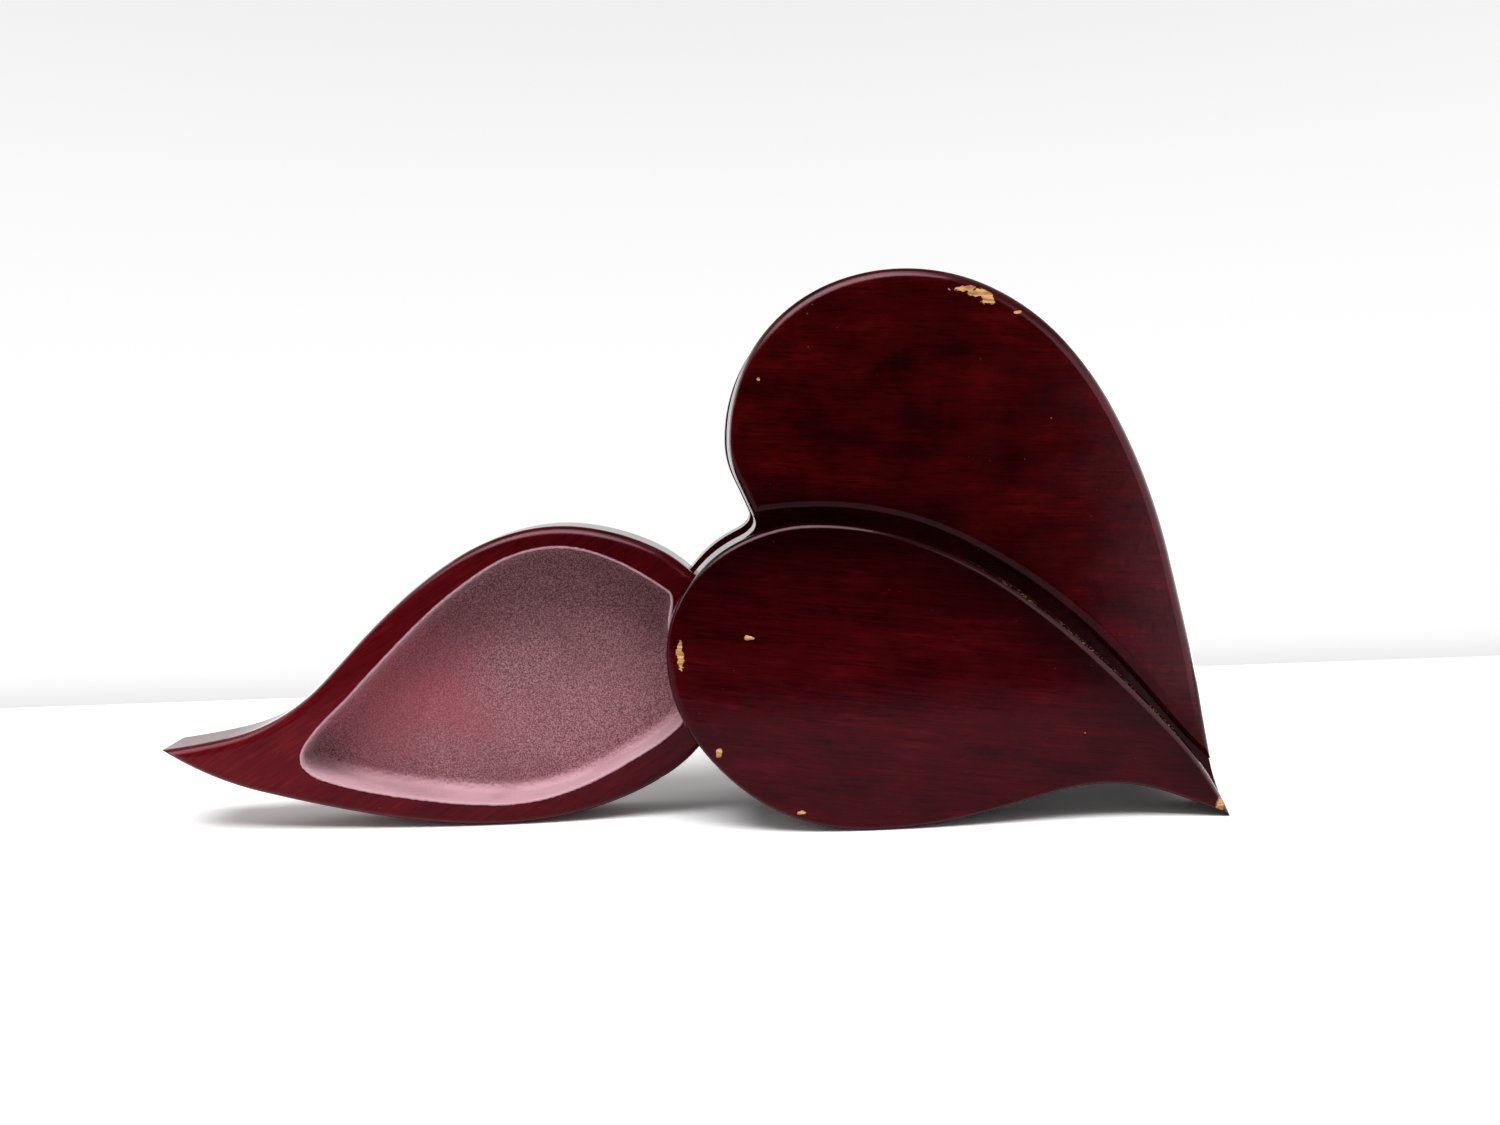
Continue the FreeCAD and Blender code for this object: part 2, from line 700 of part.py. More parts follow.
def pattern(body, feature, axis_role, count):
    turned = body.newObject("PartDesign::PolarPattern", "teeth")
    turned.Originals = [feature]
    axis = next(item for item in body.Origin.OriginFeatures if item.Role == axis_role)
    turned.Axis = (axis, [""])
    turned.Angle = 360
    turned.setExpression("Occurrences", count)
    body.Tip = turned
    doc.recompute()


def build_gear(label, origin, teeth, module, width, bore, addendum, slack, gap_angle):
    """A spur gear along X from the origin, with one gap at an angle from +Y towards +Z."""
    body = new_body(label, origin)
    size = dim(module)
    count = dim(teeth)
    pitch = size * count / 2
    tip = pitch + addendum * size
    pad(body, [circle(0, 0, tip), circle(0, 0, dim(bore))], width, 0, "YZ_Plane")
    gap = tooth_gap(count, size, tip, pitch - DEDENDUM * size, slack, math.radians(gap_angle))
    length = body.Shape.BoundBox.XLength
    first = pocket(body, gap, width, length, "YZ_Plane")
    pattern(body, first, "X_Axis", f"d.{teeth}")
    return body


def build_drum():
    """Studded drum: a tube with end caps and raised studs, a few to each note's track."""
    axis = inside(DRUM_X, dim("axis_height"), AXIS)
    shell = rod(axis, RIGHTWARD, "d.drum_radius", "d.drum_length")
    hollow = rod(axis + Vector(dim("drum_wall"), 0, 0), RIGHTWARD, "d.drum_radius - d.drum_wall",
                 "d.drum_length - 2 * d.drum_wall")
    bore = rod(axis, RIGHTWARD, "d.arbor_radius", "d.drum_length")
    tube = cut("tube", cut("shell", shell, hollow), bore)
    margin = (dim("drum_length") - dim("note_count") * dim("note_pitch")) / 2
    studs = []
    for note in range(int(dim("note_count"))):
        for beat in range(BEATS):
            turn = Rotation(Vector(1, 0, 0), 360 / BEATS * beat + (note * STUD_STEP) % STUD_SPREAD)
            track = margin + (note + 0.5) * dim("note_pitch")
            foot = axis + turn.multVec(Vector(track, 0, dim("drum_radius") - dim("drum_wall") / 2))
            studs.append(rod(foot, turn, "d.stud_radius", "d.stud_height + d.drum_wall / 2"))
    return fuse("drum", [tube] + studs)


def build_drum_train():
    """Drum, its arbor, the pinion that the barrel drives and the wheel that drives the governor."""
    build_drum()
    level = dim("axis_height")
    left = BARREL_X + CROWN_RADIUS - dim("crown_face") / 2
    right = POST_X[1] + dim("post_thickness") + dim("side_gap")
    arbor = rod(inside(left, level, AXIS), RIGHTWARD, "d.arbor_radius", str(right - left))
    arbor.Label = "drum_arbor"
    build_gear("drum_pinion", inside(left, level, AXIS), "crown_pinion", "crown_module", "d.crown_face",
               "arbor_radius", addendum=0.9, slack=0.12, gap_angle=0)
    half_pitch = 180 / dim("wheel_teeth")
    build_gear("drum_wheel", inside(WHEEL_X, level, AXIS), "wheel_teeth", "train_module", "d.wheel_width",
               "arbor_radius", addendum=WHEEL_ADDENDUM, slack=0.05, gap_angle=half_pitch - 90)


def build_second_train():
    """Governor's cross arbor with its pinion and the wheel that turns the worm."""
    level = dim("axis_height")
    left = GOVERNOR_X[0] + dim("end_gap")
    length = GOVERNOR_X[1] - dim("end_gap") - left
    arbor = rod(inside(left, level, SECOND_Z), RIGHTWARD, "d.pivot_radius", str(length))
    arbor.Label = "second_arbor"
    pinion = inside(WHEEL_X - dim("pinion_overhang"), level, SECOND_Z)
    build_gear("second_pinion", pinion, "train_pinion", "train_module",
               "d.wheel_width + 2 * d.pinion_overhang", "pivot_radius",
               addendum=0.8, slack=0.05, gap_angle=90)
    build_gear("worm_wheel", inside(WORM_WHEEL_X, level, SECOND_Z), "worm_teeth", "train_module",
               "d.wheel_width", "pivot_radius", addendum=WORM_ADDENDUM, slack=WORM_SLACK, gap_angle=-90)


def build_worm():
    """Endless screw: shaft, helical thread and the smooth drum that the stop rod brakes."""
    pitch = math.pi * dim("train_module")
    crest = dim("worm_radius") + WORM_ADDENDUM * dim("train_module")
    root = dim("worm_radius") - DEDENDUM * dim("train_module")
    half = pitch / 4 - WORM_SLACK
    helix = Part.makeHelix(pitch, WORM_TURNS * pitch, dim("worm_radius"))
    deep = root - EMBED / 2
    wide = half + (dim("worm_radius") - deep) * math.tan(PRESSURE)
    narrow = half - (crest - dim("worm_radius")) * math.tan(PRESSURE)
    corners = [Vector(x, 0, z) for x, z in ((deep, -wide), (crest, -narrow), (crest, narrow), (deep, wide))]
    profile = Part.makePolygon(corners + corners[:1])
    thread = Part.Wire(helix).makePipeShell([profile], True, True)
    thread.translate(Vector(0, 0, dim("axis_height") - WORM_TURNS * pitch / 2))
    foot = Vector(0, 0, dim("brake_rise"))
    core_length = FLY_RISE + dim("fly_height") - dim("end_gap")
    neck_length = BRIDGE_RISE - dim("end_gap") - dim("brake_rise")
    core = Part.makeCylinder(dim("pivot_radius"), core_length, Vector(0, 0, dim("end_gap")))
    neck = Part.makeCylinder(root, neck_length, foot)
    brake = Part.makeCylinder(dim("brake_radius"), dim("brake_height"), foot)
    worm = doc.addObject("Part::Feature", "worm")
    worm.Shape = core.multiFuse([neck, brake, thread])
    turn = Rotation(Vector(0, 0, 1), Vector(-1, 0, 0), Vector(0, -1, 0), "ZXY")
    worm.Placement = Placement(inside(WORM_X, 0, WORM_Z), turn)
    return worm


def build_fly():
    """Two-bladed air brake on the worm's front end."""
    origin = inside(WORM_X, FLY_RISE, WORM_Z)
    hub = rod(origin, FRONTWARD, "2 * d.pivot_radius", "d.fly_height")
    corner = origin - Vector(dim("fly_radius"), dim("fly_height"), dim("fly_thickness") / 2)
    blade = solid("Box", corner, UPRIGHT, Length="2 * d.fly_radius", Width="d.fly_height",
                  Height="d.fly_thickness")
    bore = rod(origin, FRONTWARD, "d.pivot_radius", "d.fly_height")
    return cut("fly", fuse("blades", [hub, blade]), bore)


def build_governor_frame():
    """Foot, two posts for the cross arbor and a bridge for the worm."""
    left, right = GOVERNOR_X
    low = dim("governor_low")
    high = SECOND_Z + dim("governor_high")
    body = new_body("governor_frame", inside(0, 0, 0))
    pad(body, box_curves(left, right, WORM_Z - low, high), "d.governor_foot")
    for x in (left, right - dim("governor_post")):
        pad(body, box_curves(x, x + dim("governor_post"), SECOND_Z - low, high), str(BRIDGE_RISE))
    bridge = box_curves(left, right, WORM_Z - dim("bridge_margin"), high)
    pad(body, bridge, "d.bridge_thickness", BRIDGE_RISE)
    bearing = dim("pivot_radius") + dim("run_gap")
    pocket(body, [circle(WORM_X, WORM_Z, bearing)], str(BRIDGE_TOP), BRIDGE_TOP)
    pocket(body, [circle(-dim("axis_height"), SECOND_Z, bearing)], str(right - left), right, "YZ_Plane")
    holes = [circle(x, z, dim("screw_radius")) for x, z in GOVERNOR_SCREWS]
    pocket(body, holes, "d.governor_foot", dim("governor_foot"))
    return body


def build_barrel():
    """Spring barrel: a cup open to the rear with crown teeth round its front."""
    rise = dim("barrel_lift")
    height = CROWN_ROOT - rise
    body = new_body("barrel", inside(BARREL_X, rise, AXIS))
    pad(body, [circle(0, 0, dim("barrel_radius"))], str(height))
    hollow = [circle(0, 0, dim("barrel_radius") - dim("barrel_wall"))]
    pocket(body, hollow, f"{height} - d.barrel_front", reverse=True)
    pocket(body, [circle(0, 0, dim("winding_radius") + dim("run_gap"))], str(height), height)
    half = math.pi * dim("crown_module") / 4 - CROWN_SLACK
    foot = half + (CROWN_PITCH - CROWN_ROOT) * math.tan(PRESSURE)
    crest = half - CROWN_ADDENDUM * dim("crown_module") * math.tan(PRESSURE)
    low = EMBED - height
    high = rise - CROWN_PITCH - CROWN_ADDENDUM * dim("crown_module")
    corners = [Vector(x, z, 0) for x, z in ((low, -foot), (high, -crest), (high, crest), (low, foot))]
    tooth = [Part.LineSegment(a, b) for a, b in zip(corners, corners[1:] + corners[:1])]
    first = pad(body, tooth, "d.crown_face", CROWN_RADIUS - dim("crown_face") / 2, "YZ_Plane")
    pattern(body, first, "Y_Axis", "d.crown_teeth")
    return body


def build_barrel_lid():
    origin = inside(BARREL_X, dim("barrel_lift"), AXIS)
    return ring("barrel_lid", origin, FRONTWARD, "d.barrel_radius - d.barrel_wall",
                "d.winding_radius + d.run_gap", "d.lid_thickness")


def build_mainspring():
    """Flat spiral strip of half-turn arcs between the collar and the barrel's wall."""
    step = dim("spring_pitch") / 2
    strip = dim("spring_strip")
    outermost = dim("barrel_radius") - dim("barrel_wall") - dim("spring_gap") - strip - step / 2
    count = 2 * int(dim("spring_turns"))
    inner = []
    outer = []
    for turn in range(count):
        radius = outermost - (count - 1 - turn) * step
        centre = Vector(step / 2 if turn % 2 else -step / 2, 0, 0)
        side = -1 if turn % 2 else 1
        for rows, size in ((inner, radius), (outer, radius + strip)):
            across = Vector(side * size, 0, 0)
            crown = Vector(0, side * size, 0)
            rows.append(Part.Arc(centre + across, centre + crown, centre - across).toShape())
    caps = [Part.makeLine(inner[end].Vertexes[end].Point, outer[end].Vertexes[end].Point) for end in (0, -1)]
    face = Part.Face(Part.Wire(Part.__sortEdges__(inner + outer + caps)))
    spring = doc.addObject("Part::Feature", "mainspring")
    spring.Shape = face.extrude(Vector(0, 0, dim("spring_height")))
    spring.Placement = Placement(inside(BARREL_X, LID_END + dim("spring_lift"), AXIS), FRONTWARD)
    return spring


def build_clutch_spring():
    """Wrap spring of square wire round the winding arbor that lets it turn one way only."""
    wire = dim("clutch_wire")
    radius = dim("winding_radius") + 2 * dim("run_gap") + wire
    room = dim("bed_thickness") - dim("clutch_floor")
    height = room - 2 * wire - 2 * dim("run_gap")
    helix = Part.makeHelix(dim("clutch_pitch"), height, radius)
    square = ((-1, -1), (1, -1), (1, 1), (-1, 1), (-1, -1))
    profile = Part.makePolygon([Vector(radius + x * wire, 0, z * wire) for x, z in square])
    spring = doc.addObject("Part::Feature", "clutch_spring")
    spring.Shape = Part.Wire(helix).makePipeShell([profile], True, True)
    spring.Placement = Placement(inside(BARREL_X, wire + dim("run_gap") - room, AXIS), FRONTWARD)
    return spring



def build_winding_arbor():
    """Arbor from the barrel's front through the bedplate and cover to the key, with the spring's collar."""
    front = CROWN_ROOT + dim("arbor_stub")
    length = KEY_START + dim("key_bore") - BED_FRONT + front
    arbor = rod(inside(BARREL_X, front, AXIS), REARWARD, "d.winding_radius", str(length))
    room = CROWN_ROOT - dim("barrel_front") - LID_END
    collar = rod(inside(BARREL_X, LID_END + dim("collar_gap"), AXIS), FRONTWARD, "d.collar_radius",
                 f"{room} - 2 * d.collar_gap")
    return fuse("winding_arbor", [arbor, collar])


def build_winding_key():
    """Butterfly key: two round wings on a hub."""
    body = new_body("winding_key", inside(BARREL_X, 0, AXIS) + Vector(0, KEY_START - BED_FRONT, 0))
    reach = KEY_END - KEY_START
    wing = (reach - dim("key_foot")) / 2
    far = dim("key_span") / 2 - wing
    low = reach - 2 * wing
    middle = reach - wing
    notch = Vector(0, reach - dim("key_notch"), 0)
    ends = [
        Part.LineSegment(Vector(-far, low, 0), Vector(far, low, 0)),
        Part.ArcOfCircle(Vector(far, low, 0), Vector(far + wing, middle, 0), Vector(far, reach, 0)),
        Part.ArcOfCircle(Vector(far, reach, 0), notch, Vector(-far, reach, 0)),
        Part.ArcOfCircle(Vector(-far, reach, 0), Vector(-far - wing, middle, 0), Vector(-far, low, 0)),
    ]
    holes = [circle(-far, middle, wing / 2), circle(far, middle, wing / 2)]
    pad(body, ends + holes, "d.key_thickness", -dim("key_thickness") / 2, "XY_Plane")
    pad(body, [circle(0, 0, dim("key_hub"))], "d.key_hub_length", reverse=True)
    pocket(body, [circle(0, 0, dim("winding_radius"))], "d.key_bore")
    return body


def build_back_cover():
    """Sound board in the well that carries the movement."""
    body = new_body("back_cover", place(movement.x, COVER_BACK, movement.z))
    grow = dim("ledge_width") - dim("cover_gap")
    board = rounded_rectangle(Vector(), CAVITY_WIDTH + 2 * grow, CAVITY_HEIGHT + 2 * grow,
                              dim("cavity_corner") + grow)
    pad(body, board, "d.cover_thickness")
    holes = [circle(BARREL_X, AXIS, dim("winding_radius") + dim("cover_hole_gap"))]
    holes += [circle(x, z, dim("screw_radius")) for x, z in COVER_SCREWS + list(BED_SCREWS)]
    pocket(body, holes, "d.cover_thickness", dim("cover_thickness"))
    return body


def build_screws():
    back = COVER_BACK - BED_FRONT
    comb_rise = COMB_RISE + dim("comb_thickness")
    comb_places = [(x, COMB_BACK - dim("comb_base") / 2) for x in COMB_SCREWS]
    foot = dim("governor_foot")
    rows = (
        ("cover_screws", COVER_SCREWS, -back, FRONTWARD, "d.cover_thickness + d.screw_bite"),
        ("bed_screws", BED_SCREWS, -back, FRONTWARD, "d.cover_thickness + d.bed_thickness"),
        ("comb_screws", comb_places, comb_rise, REARWARD, "d.comb_thickness + d.screw_bite"),
        ("governor_screws", GOVERNOR_SCREWS, foot, REARWARD, "d.governor_foot + d.bed_thickness"),
    )
    for label, places, rise, turn, length in rows:
        group(label, [screw(inside(x, rise, z), turn, length) for x, z in places])


def build_pivot():
    """Pin through board, tray and rear wall, with a washer at each face of the tray."""
    front = place(pivot.x, BOARD_BACK - dim("pin_seat"), pivot.z)
    pin = rod(front, REARWARD, "d.pin_radius", "d.slot_depth + 2 * d.pin_seat")
    pin.Label = "pivot_pin"
    spare = (dim("tray_gap") - dim("washer_thickness")) / 2
    starts = (BOARD_BACK + spare, SLOT_BACK - dim("tray_gap") + spare)
    washers = [ring("washer", place(pivot.x, start, pivot.z), REARWARD, "d.washer_radius",
                    "d.pin_radius + d.run_gap", "d.washer_thickness") for start in starts]
    group("pivot_washers", washers)


def build_stop():
    """Rod that the closing tray lifts, with a felt that brakes the worm's drum."""
    slope = leaf_height(ROD_X + 0.5) - leaf_height(ROD_X - 0.5)
    clear = dim("rod_radius") * math.hypot(1, slope) + dim("rod_gap")
    dome = leaf_height(ROD_X) + clear - dim("rod_travel")
    shank = rod(place(ROD_X, ROD_Y, dome), UPRIGHT, "d.rod_radius", str(CAVITY_FLOOR - dome))
    ball = solid("Sphere", place(ROD_X, ROD_Y, dome), UPRIGHT, Radius="d.rod_radius")
    fuse("stop_rod", [shank, ball])
    foot = place(ROD_X, ROD_Y, CAVITY_FLOOR)
    felt = rod(foot, UPRIGHT, "d.rod_radius + d.felt_overhang", "d.felt_thickness")
    felt.Label = "stop_felt"


build_upper_lobe()
build_lower_leaf()
build_front_board()
build_rear_body()
build_tray()
build_tray_lining()
build_bedplate()
build_comb()
build_drum_train()
build_second_train()
build_worm()
build_fly()
build_governor_frame()
build_barrel()
build_barrel_lid()
build_mainspring()
build_clutch_spring()
build_winding_arbor()
build_winding_key()
build_back_cover()
build_screws()
build_pivot()
build_stop()

# Check and export
doc.recompute()
broken = [item.Label for item in doc.Objects if {"Invalid", "Error"} & set(item.State)]
pieces = [item for item in doc.RootObjects if item.isDerivedFrom("Part::Feature")]
broken += [item.Label for item in pieces if item.Shape.isNull() or not item.Shape.isValid()]
if broken:
    raise RuntimeError("not built: " + ", ".join(sorted(set(broken))))
os.makedirs("parts", exist_ok=True)
for item in pieces:
    item.Shape.exportStep(f"parts/{item.Label}.step")
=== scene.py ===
"""Looks of a heart-shaped wind-up music box with a leaf-shaped tray that swings out of its side."""

import json
import math

import bpy
from mathutils import Matrix, Vector, noise


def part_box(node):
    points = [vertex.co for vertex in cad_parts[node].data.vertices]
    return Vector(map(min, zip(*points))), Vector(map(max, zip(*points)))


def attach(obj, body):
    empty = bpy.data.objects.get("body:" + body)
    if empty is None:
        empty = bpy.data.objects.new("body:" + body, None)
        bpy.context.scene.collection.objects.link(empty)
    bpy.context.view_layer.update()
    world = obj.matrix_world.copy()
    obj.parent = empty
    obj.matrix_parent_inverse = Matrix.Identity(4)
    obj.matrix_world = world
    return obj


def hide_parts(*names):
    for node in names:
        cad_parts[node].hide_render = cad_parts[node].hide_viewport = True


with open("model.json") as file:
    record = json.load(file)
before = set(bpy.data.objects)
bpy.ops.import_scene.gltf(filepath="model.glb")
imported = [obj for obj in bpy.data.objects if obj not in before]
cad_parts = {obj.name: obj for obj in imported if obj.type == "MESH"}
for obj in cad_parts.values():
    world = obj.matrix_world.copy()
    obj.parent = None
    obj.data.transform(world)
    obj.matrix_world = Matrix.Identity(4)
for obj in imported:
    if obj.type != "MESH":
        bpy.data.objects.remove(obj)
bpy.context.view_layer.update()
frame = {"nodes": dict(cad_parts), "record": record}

MM = 0.001

# Lacquer colours: darkest streak, body, lightest streak
LOBE_REDS = ((0.012, 0.0003, 0.0005), (0.028, 0.0006, 0.0009), (0.052, 0.0014, 0.0020))
LEAF_REDS = ((0.016, 0.0004, 0.0008), (0.034, 0.0008, 0.0017), (0.057, 0.0017, 0.0032))
BOARD_REDS = ((0.006, 0.0002, 0.0003), (0.013, 0.0004, 0.0006), (0.024, 0.0008, 0.0012))
BODY_REDS = ((0.016, 0.0004, 0.0008), (0.034, 0.0009, 0.0017), (0.058, 0.0020, 0.0032))
TRAY_REDS = ((0.052, 0.0017, 0.0033), (0.089, 0.0032, 0.0057), (0.130, 0.0062, 0.0090))
BARE_WOOD = ((0.34, 0.15, 0.048), (0.68, 0.39, 0.17))
DARK_KNOT = (0.004, 0.0004, 0.0004)
DUST = (0.23, 0.14, 0.15)

# Gloss of the lacquer, and depths of its waves, its grain and its chips
LACQUER_TINT = (1.0, 0.55, 0.68)
LACQUER_LEVEL = 0.14
LACQUER_ROUGHNESS = (0.11, 0.16)
CHIP_ROUGHNESS = 0.5
WAVE_DEPTH = 0.012 * MM
GRAIN_DEPTH = 0.02 * MM
CHIP_DEPTH = 0.25 * MM

# The groove's highest point in the front view, in millimetres
GROOVE_TOP = (32.4, 85.6)

# Painted shade, darker towards the groove between the lobe and the leaf: the groove's fall per square
# millimetre, then start and end in millimetres above it, and the strength at each
LOBE_PAINTED_SHADE = (0.0072, 1.0, 13.0, 0.42, 1.05)
LEAF_PAINTED_SHADE = (0.0056, -4.0, -33.0, 0.28, 1.1)

# How the tray's colour darkens along X: start and end in millimetres, and the strength at each
TRAY_SHADE = (-130.0, -15.0, 1.05, 0.55)

# Grain directions, as degrees above the horizontal in the front view
LOBE_GRAIN = -3.0
LEAF_GRAIN = -7.0
BODY_GRAIN = -3.0
TRAY_GRAIN = 31.2

# Grain features per metre: along the grain, through the depth and across the grain
BANDS = (14.0, 40.0, 95.0)
STREAKS = (70.0, 900.0, 1300.0)
MOTTLE = (55.0, 90.0, 90.0)
PORES = (160.0, 1500.0, 2400.0)
BARE_GRAIN = (220.0, 900.0, 1700.0)

# Shares of bands and of fine streaks in the grain, the rest being mottle: the lobe is more mottled
BAND_SHARE = 0.24
LOBE_STREAKS = 0.20
PLAIN_STREAKS = 0.34

# Chips in the lacquer, in millimetres: x, z, half width, half height
LOBE_CHIPS = (
    (73.4, 141.1, 2.8, 0.7),
    (76.6, 140.0, 2.6, 1.0),
    (79.3, 138.5, 1.8, 1.5),
    (86.9, 134.9, 1.0, 0.35),
    (20.2, 119.6, 0.4, 0.45),
    (95.6, 107.7, 0.25, 0.25),
)
LEAF_CHIPS = (
    (-2.0, 49.2, 0.9, 3.2),
    (16.1, 53.0, 1.3, 0.55),
    (7.4, 22.8, 0.9, 1.1),
    (28.8, 5.9, 1.2, 0.45),
    (141.2, 4.0, 1.4, 1.6),
    (104.4, 24.6, 0.22, 0.22),
)
TRAY_CHIPS = ((-143.4, 20.6, 1.0, 0.8),)
KNOT = (57.6, 123.2, 7.0, 2.6)
CHIP_REACH = 4.0

# How ragged the edges of chips and of the knot are, and how soft and strong the knot is
SPOT_EDGE = 1.05
CHIP_RAGGED = 2.2
KNOT_RAGGED = 2.4
KNOT_SOFTNESS = 0.8
KNOT_STRENGTH = 0.6

# Dust: start and end of the noise that shows as specks, and their strength
DUST_LEVELS = (0.815, 0.86)
DUST_STRENGTH = 0.6

# Where the front pieces' rounded edges lie behind the front face
FRONT_FACE = -25.0
TRAY_FRONT = -7.5
EDGE_START = 0.2
EDGE_START_SOFT = 0.3
EDGE_END = 1.9
EDGE_END_SOFT = 0.4

# Where the leaf's upper edge is worn: beyond this x, and above a line that falls to the right
WORN_FROM = (70.0, 100.0)
WORN_LINE = (0.55, 84.0)
WORN_SOFT = 2.0
WORN_STRENGTH = 0.32

# Flock and felt
FLOCK_VOXEL = 0.45 * MM
FLOCK_GRAIN = 0.9 * MM
FLOCK_PILE = 0.16 * MM
FELT_VOXEL = 0.2 * MM
FELT_GRAIN = 0.5 * MM
FELT_PILE = 0.06 * MM
BACKING_INSET = 0.04 * MM
FLOCK_MAUVES = ((0.105, 0.042, 0.050), (0.235, 0.101, 0.118), (0.390, 0.198, 0.222))
FLOCK_CLOUD = (0.155, 0.066, 0.076)
FLOCK_GROUND = (0.34, 0.068, 0.095)
# Painted highlight colour for the lining's rim and for its walls that face up
FLOCK_PAINTED_LIGHT = (0.67, 0.395, 0.45)
FELT_GREENS = ((0.045, 0.085, 0.05), (0.11, 0.18, 0.115))

# Painted shade on the flock, darker upwards where the recess's top wall shades it: start and end in
# millimetres, and the strength at each
FLOCK_PAINTED_SHADE = (22.0, 62.0, 1.2, 0.93)

# Where the flock is rubbed, in millimetres: x, z, half width, half height; then its soft edge and strength
WORN_PATCH = (-82.0, 38.0, 32.0, 24.0)
PATCH_EDGE = (1.25, 0.25)
PATCH_STRENGTH = 0.58

# The painted highlight along the lining's front edge: start and end along Y and waviness in millimetres, and
# its strength
RIM_DEPTHS = (-4.6, -6.8)
RIM_WAVE = 5.0
RIM_HIGHLIGHT_STRENGTH = 0.6

# Metals: dull and bright colour, brush lines per metre, and least and most roughness
BRASS = ((0.42, 0.27, 0.085), (0.74, 0.53, 0.22), (300.0, 1400.0, 300.0), (0.22, 0.38))
STEEL = ((0.34, 0.34, 0.35), (0.58, 0.58, 0.60), (1500.0, 300.0, 300.0), (0.20, 0.36))
ZINC_GREYS = ((0.36, 0.36, 0.36), (0.55, 0.55, 0.54))

# Plain board, with its growth lines and flecks per metre, and pressed fibre
BOARD_BROWNS = ((0.30, 0.17, 0.075), (0.52, 0.34, 0.17))
BOARD_FLECK = (0.22, 0.12, 0.05)
BOARD_LINES = (9.0, 60.0, 520.0)
BOARD_FLECKS = (160.0, 900.0, 1900.0)
FIBRE_BROWNS = ((0.05, 0.018, 0.012), (0.12, 0.05, 0.03))

# Camera, from the photograph's vanishing lines
CAMERA_PLACE = (0.00415, -0.34616, 0.10455)
CAMERA_RIGHT = (0.99872, -0.04216, -0.02738)
CAMERA_UP = (0.03138, 0.09745, 0.99474)
CAMERA_LENS = 30.0
SENSOR_WIDTH = 36.0

# Table
TABLE_BACK = 0.185
TABLE_FRONT = -0.18
TABLE_WIDTH = 3.0
TABLE_WHITE = 0.95
SEEN_WHITE = 1.2

# Lamps: place, aim, size and radiance
TOP_LIGHT = ((-0.1, -0.5, 1.0), (0.0, 0.0, 0.05), (1.1, 0.45), 9.0)
LEFT_LIGHT = ((-1.1, 0.15, 0.7), (0.0, 0.0, 0.06), (0.6, 0.6), 2.0)

# The room: its plain light, and how bright its sides look in a gloss
ROOM_LIGHT = 0.36
BACK_WALL = 1.0
FRONT_DARK = 0.02
CEILING = 0.12
OVERHEAD = 11.0
LEFT_WINDOW = 7.0
RIGHT_WINDOW = 5.0

# Where those sides begin and end, as parts of a unit direction
WALL_SIDE = (0.25, -0.2)
CEILING_RISE = (0.25, 0.6)
OVERHEAD_RISE = (0.55, 0.75)
OVERHEAD_RIGHT = (0.45, 0.05)
OVERHEAD_BACK = (0.15, -0.15)
LEFT_WINDOW_SIDE = (-0.4, -0.6)
LEFT_WINDOW_BACK = (0.1, 0.35)
RIGHT_WINDOW_SIDE = (0.30, 0.41)

# Painted shade on the wall that the camera sees: it greys a little at its foot and towards its top: start and
# end of each
WALL_FOOT = (-0.20, -0.17)
FOOT_GREY = 0.86
WALL_TOP = (0.03, 0.55)
TOP_GREY = 0.78


